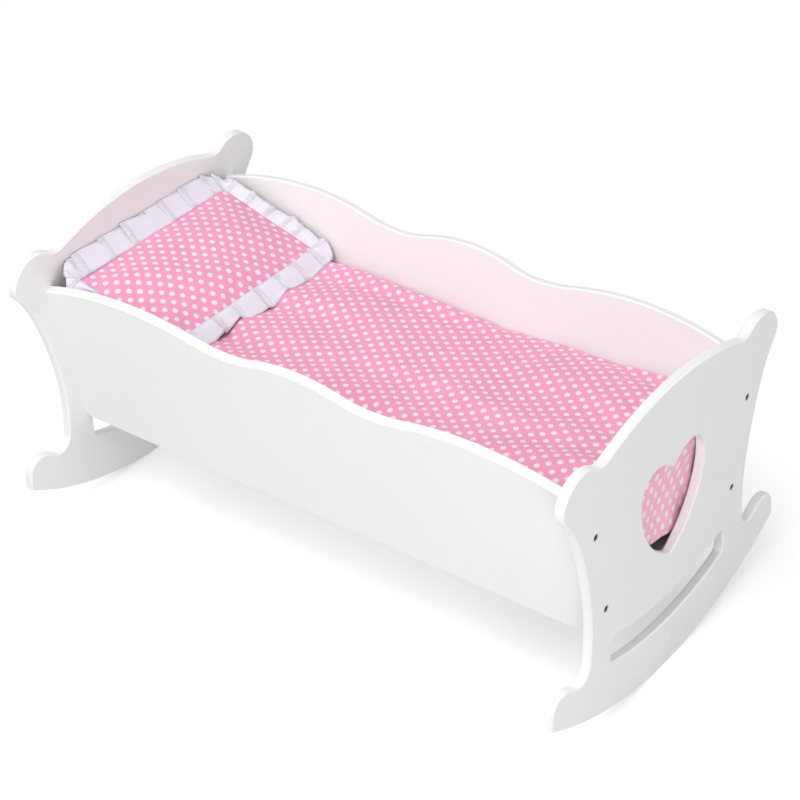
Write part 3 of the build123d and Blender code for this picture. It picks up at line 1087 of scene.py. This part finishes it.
def side_shares(heading):
    """How much a heading out of the pillow points to the head, the foot, the far and near side."""
    pointed = (-cos(heading), cos(heading), sin(heading), -sin(heading))
    return [max(part, 0.0) ** 2 for part in pointed]


def by_side(shares, values):
    """A value between those of the sides that a heading points to."""
    return sum(share * value for share, value in zip(shares, values))


def ribbon_width(settings, shares, y):
    """Width of the ribbon where it points a way out of the pillow, narrow at the head corners."""
    head, _, far, near = shares
    at_head = float(np.interp(y, *np.array(head_widths).T))
    at_foot = float(np.interp(y, *np.array(foot_widths).T))
    side = settings.side_width
    return by_side(shares, (at_head, at_foot, side, side)) * (1 - 1.5 * head * (far + near))


def lay_down(point, height, lift, tip):
    """Moves a point of the ribbon out of the quilt, the side panels and the headboard."""
    floor_z = height(point.x, point.y)
    if floor_z is not None:
        point.z = max(point.z, floor_z + lying_gap + tip * kept_tip)
    layers = ribbon_room * (1 + lift)
    room = side_inside_y(point.z) - layers
    over = abs(point.y) - room
    if over > 0:
        point.y = room if point.y > 0 else -room
        point.z += over * turned_up
    point.x = max(point.x, head_inside + layers)
    return point


def pleated_ribbon(pillow, settings):
    """Points, faces, flat places and cut length of the knife-pleated ribbon; each place's third
    number is the painted crease highlight.
    """
    matrix = pillow_matrix(pillow)
    height = surface_under(bpy.data.objects["quilt_cover"])
    stations, cut_length = ruffle_stations(pillow, settings)
    noise.seed_set(crumple_seed)
    points = []
    places = []
    for stretch, share, lift, number, along in stations:
        spot, heading = seam_point(stretch, max(share, least_share), pillow.corner_round)
        shares = side_shares(heading)
        wobble = soft_noise(number * 2.11, 7.3, 1.0)
        from_head = clamp((spot.x + pillow.depth / 2 - tuck_from) / tuck_ramp)
        tucked = near_tuck * shares[3] ** 4 * from_head
        tilt = radians(by_side(shares, side_tilts) - tucked + tilt_change * wobble)
        rise = settings.rise * by_side(shares, side_rises) * (1 + wobble * rise_change)
        loose = by_side(shares, side_crumples)
        slant = (lift - 0.5) * (slant_width + slant_change * wobble)
        width = ribbon_width(settings, shares, spot.y) + slant * by_side(shares, side_slants)
        out = Vector((cos(heading), sin(heading), 0))
        base = Vector((spot.x - pillow.depth / 2, spot.y, 0))
        # Painted highlight: how much whiter the ribbon is painted near each crease
        crease = max(0.0, lift * 4 - 3)
        for column in range(ribbon_columns + 1):
            part = column / ribbon_columns
            reach = -settings.seam_lap + (width + settings.seam_lap) * part
            lean = tilt if reach > 0 else 0.0
            tip = lift * rise * (0.4 + 0.6 * part)
            bow = sin(part * pi) * ribbon_bow * (1 + wobble)
            local = base + out * reach * cos(lean)
            local.z += reach * sin(lean) + tip + bow
            crumple = noise.noise_vector(Vector((local.x, local.y, 0.5)) / crumple_size)
            world = matrix @ (local + crumple * loose * sqrt(part))
            points.append(lay_down(world, height, lift, tip))
            places.append((along, settings.width * part, crease))
    ring = ribbon_columns + 1
    faces = []
    for row in range(len(stations)):
        after = (row + 1) % len(stations)
        for column in range(ribbon_columns):
            faces.append((row * ring + column, after * ring + column,
                          after * ring + column + 1, row * ring + column + 1))
    return points, faces, places, cut_length


class CRADLE_OT_ruffle(bpy.types.Operator):
    """Pleats the satin ribbon round the pillow's seam"""

    bl_idname = "cradle.ruffle"
    bl_label = "Ruffle"

    def execute(self, context):
        pillow = context.scene.cradle_pillow
        settings = context.scene.cradle_ruffle
        material = satin_ribbon(settings)
        points, faces, places, length = pleated_ribbon(pillow, settings)
        ruffle = new_object(
            "ruffle_ribbon", points, faces, material, "pillow")
        # The ribbon's places carry the painted crease highlight as their third number
        keep_places(ruffle, "ribbon_place", places)
        ruffle.data.set_sharp_from_angle(angle=radians(80))
        hem = ruffle.modifiers.new("cloth", "SOLIDIFY")
        hem.thickness = 0.00015
        hem.offset = 0
        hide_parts("pillow_ruffle")
        return {"FINISHED"}


# Mattress

mattress_inset = Vector((0.0015, 0.0015, 0.0004))


def mattress_form(middle, half, along, across):
    """Points of the pad's top and underside, with rounded edges."""
    end_power, side_power, root = 40, 22, 0.4
    full = (1 - abs(along) ** end_power) ** root * (1 - abs(across) ** side_power) ** root
    x = middle.x + half.x * crowded(along, 0.95)
    y = middle.y + half.y * crowded(across, 0.9)
    return (x, y, middle.z + half.z * full), (x, y, middle.z - half.z * full)


class CRADLE_OT_mattress(bpy.types.Operator):
    """Cuts the foam mattress, in a cotton cover"""

    bl_idname = "cradle.mattress"
    bl_label = "Mattress"

    def execute(self, context):
        low = Vector(mattress_low)
        high = Vector(mattress_high)
        half = (high - low) / 2 - mattress_inset
        form = partial(mattress_form, (low + high) / 2, half)
        points, faces, _ = two_faced_grid(*two_grids(rows=44, columns=18, form=form))
        mattress = new_object(
            "mattress_pad", points, faces, plain_cotton(), "mattress")
        subdivided(mattress)
        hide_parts("mattress")
        return {"FINISHED"}


# Screws


def screw_profile(settings):
    """Half section of a screw from the socket's rim to the tip, as (depth, radius)."""
    head = settings.head_radius
    height = settings.head_height
    shank = settings.shank_radius
    pitch = settings.thread_pitch
    crown = head * 0.12
    profile = [
        (0.0, settings.socket_radius * 1.12), (0.0, head - crown),
        (crown * 0.3, head - crown * 0.3), (crown, head), (height, head), (height, shank),
    ]
    for turn in range(1, int((settings.length - height) / pitch)):
        depth = height + turn * pitch
        profile.append((depth - pitch * 0.25, shank))
        profile.append((depth, settings.thread_radius * 0.985))
        profile.append((depth + pitch * 0.25, shank))
    profile.append((settings.length, shank * 0.25))
    return profile


def one_screw(settings, start, place, toward):
    """Points and faces of a screw whose head faces along X, with a six-sided socket."""
    sides = 24
    floor, corner = settings.socket_depth, settings.socket_radius
    rings = [(floor, 0.0, True), (floor, corner, True), (0.0, corner, True)]
    rings += [(depth, radius, False) for depth, radius in screw_profile(settings)]
    points = []
    for depth, radius, six_sided in rings:
        for side in range(sides):
            angle = 2 * pi * side / sides
            reach = radius
            if six_sided:
                from_flat = angle % (pi / 3) - pi / 6
                reach = radius * cos(pi / 6) / cos(from_flat)
            points.append((
                place[0] - toward * depth, place[1] + reach * cos(angle),
                place[2] + reach * sin(angle)))
    faces = []
    for here in range(start, start + (len(rings) - 1) * sides, sides):
        for side in range(sides):
            after = (side + 1) % sides
            face = (here + side, here + after, here + sides + after, here + sides + side)
            faces.append(face[::toward])
    tip = start + (len(rings) - 1) * sides
    faces.append(tuple(range(tip, tip + sides))[::toward])
    return points, faces


class CRADLE_OT_screws(bpy.types.Operator):
    """Turns the socket screws of both end boards"""

    bl_idname = "cradle.screws"
    bl_label = "Screws"

    def execute(self, context):
        settings = context.scene.cradle_screws
        material = blackened_steel(settings)
        for name, outside, toward in (
                ("headboard", headboard_low[0], -1), ("footboard", footboard_high[0], 1)):
            points = []
            faces = []
            for side in (-1, 1):
                for z in (settings.low_height, settings.high_height):
                    place = (outside - toward * settings.head_recess, side * side_middle_y(z), z)
                    more_points, more_faces = one_screw(settings, len(points), place, toward)
                    points += more_points
                    faces += more_faces
            screws = new_object(
                name + "_socket_screws", points, faces, material, "cradle")
            screws.data.set_sharp_from_angle(angle=radians(35))
            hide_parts(name + "_screws")
        return {"FINISHED"}


# Boards

BOARDS = ("headboard", "footboard", "side_panel_near", "side_panel_far", "base_panel")


class CRADLE_OT_boards(bpy.types.Operator):
    """Paints the boards and softens their edges"""

    bl_idname = "cradle.boards"
    bl_label = "Boards"

    def execute(self, context):
        settings = context.scene.cradle_paint
        material = painted_board(settings)
        for name in BOARDS:
            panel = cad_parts[name]
            for slot in panel.material_slots:
                slot.material = material
            weld = panel.modifiers.new("weld", "WELD")
            weld.merge_threshold = 0.00002
            ease = panel.modifiers.new("ease", "BEVEL")
            ease.width = settings.edge_softness
            ease.segments = 2
            ease.limit_method = "ANGLE"
            ease.angle_limit = radians(30)
            ease.harden_normals = False
            even = panel.modifiers.new("even", "WEIGHTED_NORMAL")
            even.keep_sharp = False
        return {"FINISHED"}


# Stage

# Each lamp's name, place and size
LAMPS = (
    ("near", (0, -1.3, 1.8), 2.0),
    ("far", (1.5, 1.5, 1.0), 1.0),
    ("foot", (1.5, -1.15, 0.5), 0.8),
    ("top", (0.1, -0.6, 2.0), 1.5),
    ("head", (-1.4, 0, 1.6), 1.0),
)
lamp_aim = Vector((0, 0, 0.12))
floor_reach = 6.0


class CRADLE_OT_stage(bpy.types.Operator):
    """Sets up the camera, the lamps, the floor and the backdrop"""

    bl_idname = "cradle.stage"
    bl_label = "Stage"

    def execute(self, context):
        settings = context.scene.cradle_stage
        self.set_camera(context.scene, settings)
        self.set_lamps(context.scene, settings)
        self.set_world(context.scene, settings)
        self.set_floor(context.scene, settings)
        context.scene.view_settings.view_transform = "Standard"
        return {"FINISHED"}

    def set_camera(self, scene, settings):
        lens = bpy.data.cameras.new("camera")
        lens.lens = settings.camera_lens
        lens.sensor_width = 36
        camera = bpy.data.objects.new("camera", lens)
        view = Vector(settings.camera_aim) - Vector(settings.camera_place)
        turn = view.to_track_quat("-Z", "Y").to_matrix().to_4x4()
        roll = Matrix.Rotation(settings.camera_roll, 4, "Z")
        camera.matrix_world = Matrix.Translation(settings.camera_place) @ turn @ roll
        scene.collection.objects.link(camera)
        scene.camera = camera

    def set_lamps(self, scene, settings):
        """Large square lamps that point at the bed."""
        for name, place, size in LAMPS:
            light = bpy.data.lights.new(name + "_lamp", "AREA")
            light.shape = "SQUARE"
            light.size = size
            light.energy = getattr(settings, name + "_watts")
            lamp = bpy.data.objects.new(name + "_lamp", light)
            lamp.location = place
            aim = lamp_aim - Vector(place)
            lamp.rotation_euler = aim.to_track_quat("-Z", "Y").to_euler()
            scene.collection.objects.link(lamp)

    def set_world(self, scene, settings):
        """A plain sky, and a white backdrop that the camera, gloss and glass see."""
        world = bpy.data.worlds.new("studio")
        world.use_nodes = True
        finish = Finish(world)
        path = finish.node("ShaderNodeLightPath").socket.node.outputs
        camera, glossy, transmission = [
            Wire(finish, path["Is %s Ray" % kind])
            for kind in ("Camera", "Glossy", "Transmission")]
        seen = camera.at_least(glossy).at_least(transmission)
        sky = finish.light("Background", settings.sky_strength)
        backdrop = finish.light("Background", 1.0)
        shader = finish.node("ShaderNodeMixShader", inputs={0: seen, 1: sky, 2: backdrop})
        finish.node("ShaderNodeOutputWorld", inputs={"Surface": shader})
        scene.world = world

    def set_floor(self, scene, settings):
        signs = ((-1, -1), (1, -1), (1, 1), (-1, 1))
        corners = [(x * floor_reach, y * floor_reach, 0) for x, y in signs]
        mesh = bpy.data.meshes.new("floor")
        mesh.from_pydata(corners, [], [(0, 1, 2, 3)])
        mesh.materials.append(lit_floor(settings))
        ground = bpy.data.objects.new("floor", mesh)
        scene.collection.objects.link(ground)


class CRADLE_PT_build(bpy.types.Panel):
    """Lists the steps that dress the cradle"""

    bl_label = "Cradle"
    bl_space_type = "VIEW_3D"
    bl_region_type = "UI"
    bl_category = "Cradle"

    def draw(self, context):
        for step in STEPS:
            self.layout.operator(step.bl_idname)
        for name, group in SETTINGS.items():
            box = self.layout.box()
            box.label(text=group.__doc__)
            for item in group.__annotations__:
                box.prop(getattr(context.scene, name), item)


STEPS = (
    CRADLE_OT_stage, CRADLE_OT_boards, CRADLE_OT_screws, CRADLE_OT_mattress, CRADLE_OT_quilt,
    CRADLE_OT_pillow, CRADLE_OT_ruffle,
)


def register():
    for name, group in SETTINGS.items():
        bpy.utils.register_class(group)
        setattr(bpy.types.Scene, name, PointerProperty(type=group))
    for operator in STEPS:
        bpy.utils.register_class(operator)
    bpy.utils.register_class(CRADLE_PT_build)


def unregister():
    bpy.utils.unregister_class(CRADLE_PT_build)
    for operator in reversed(STEPS):
        bpy.utils.unregister_class(operator)
    for name, group in SETTINGS.items():
        delattr(bpy.types.Scene, name)
        bpy.utils.unregister_class(group)


def main():
    register()
    bpy.ops.cradle.stage()
    bpy.ops.cradle.boards()
    bpy.ops.cradle.screws()
    bpy.ops.cradle.mattress()
    bpy.ops.cradle.quilt()
    bpy.ops.cradle.pillow()
    bpy.ops.cradle.ruffle()


if __name__ == "__main__":
    main()
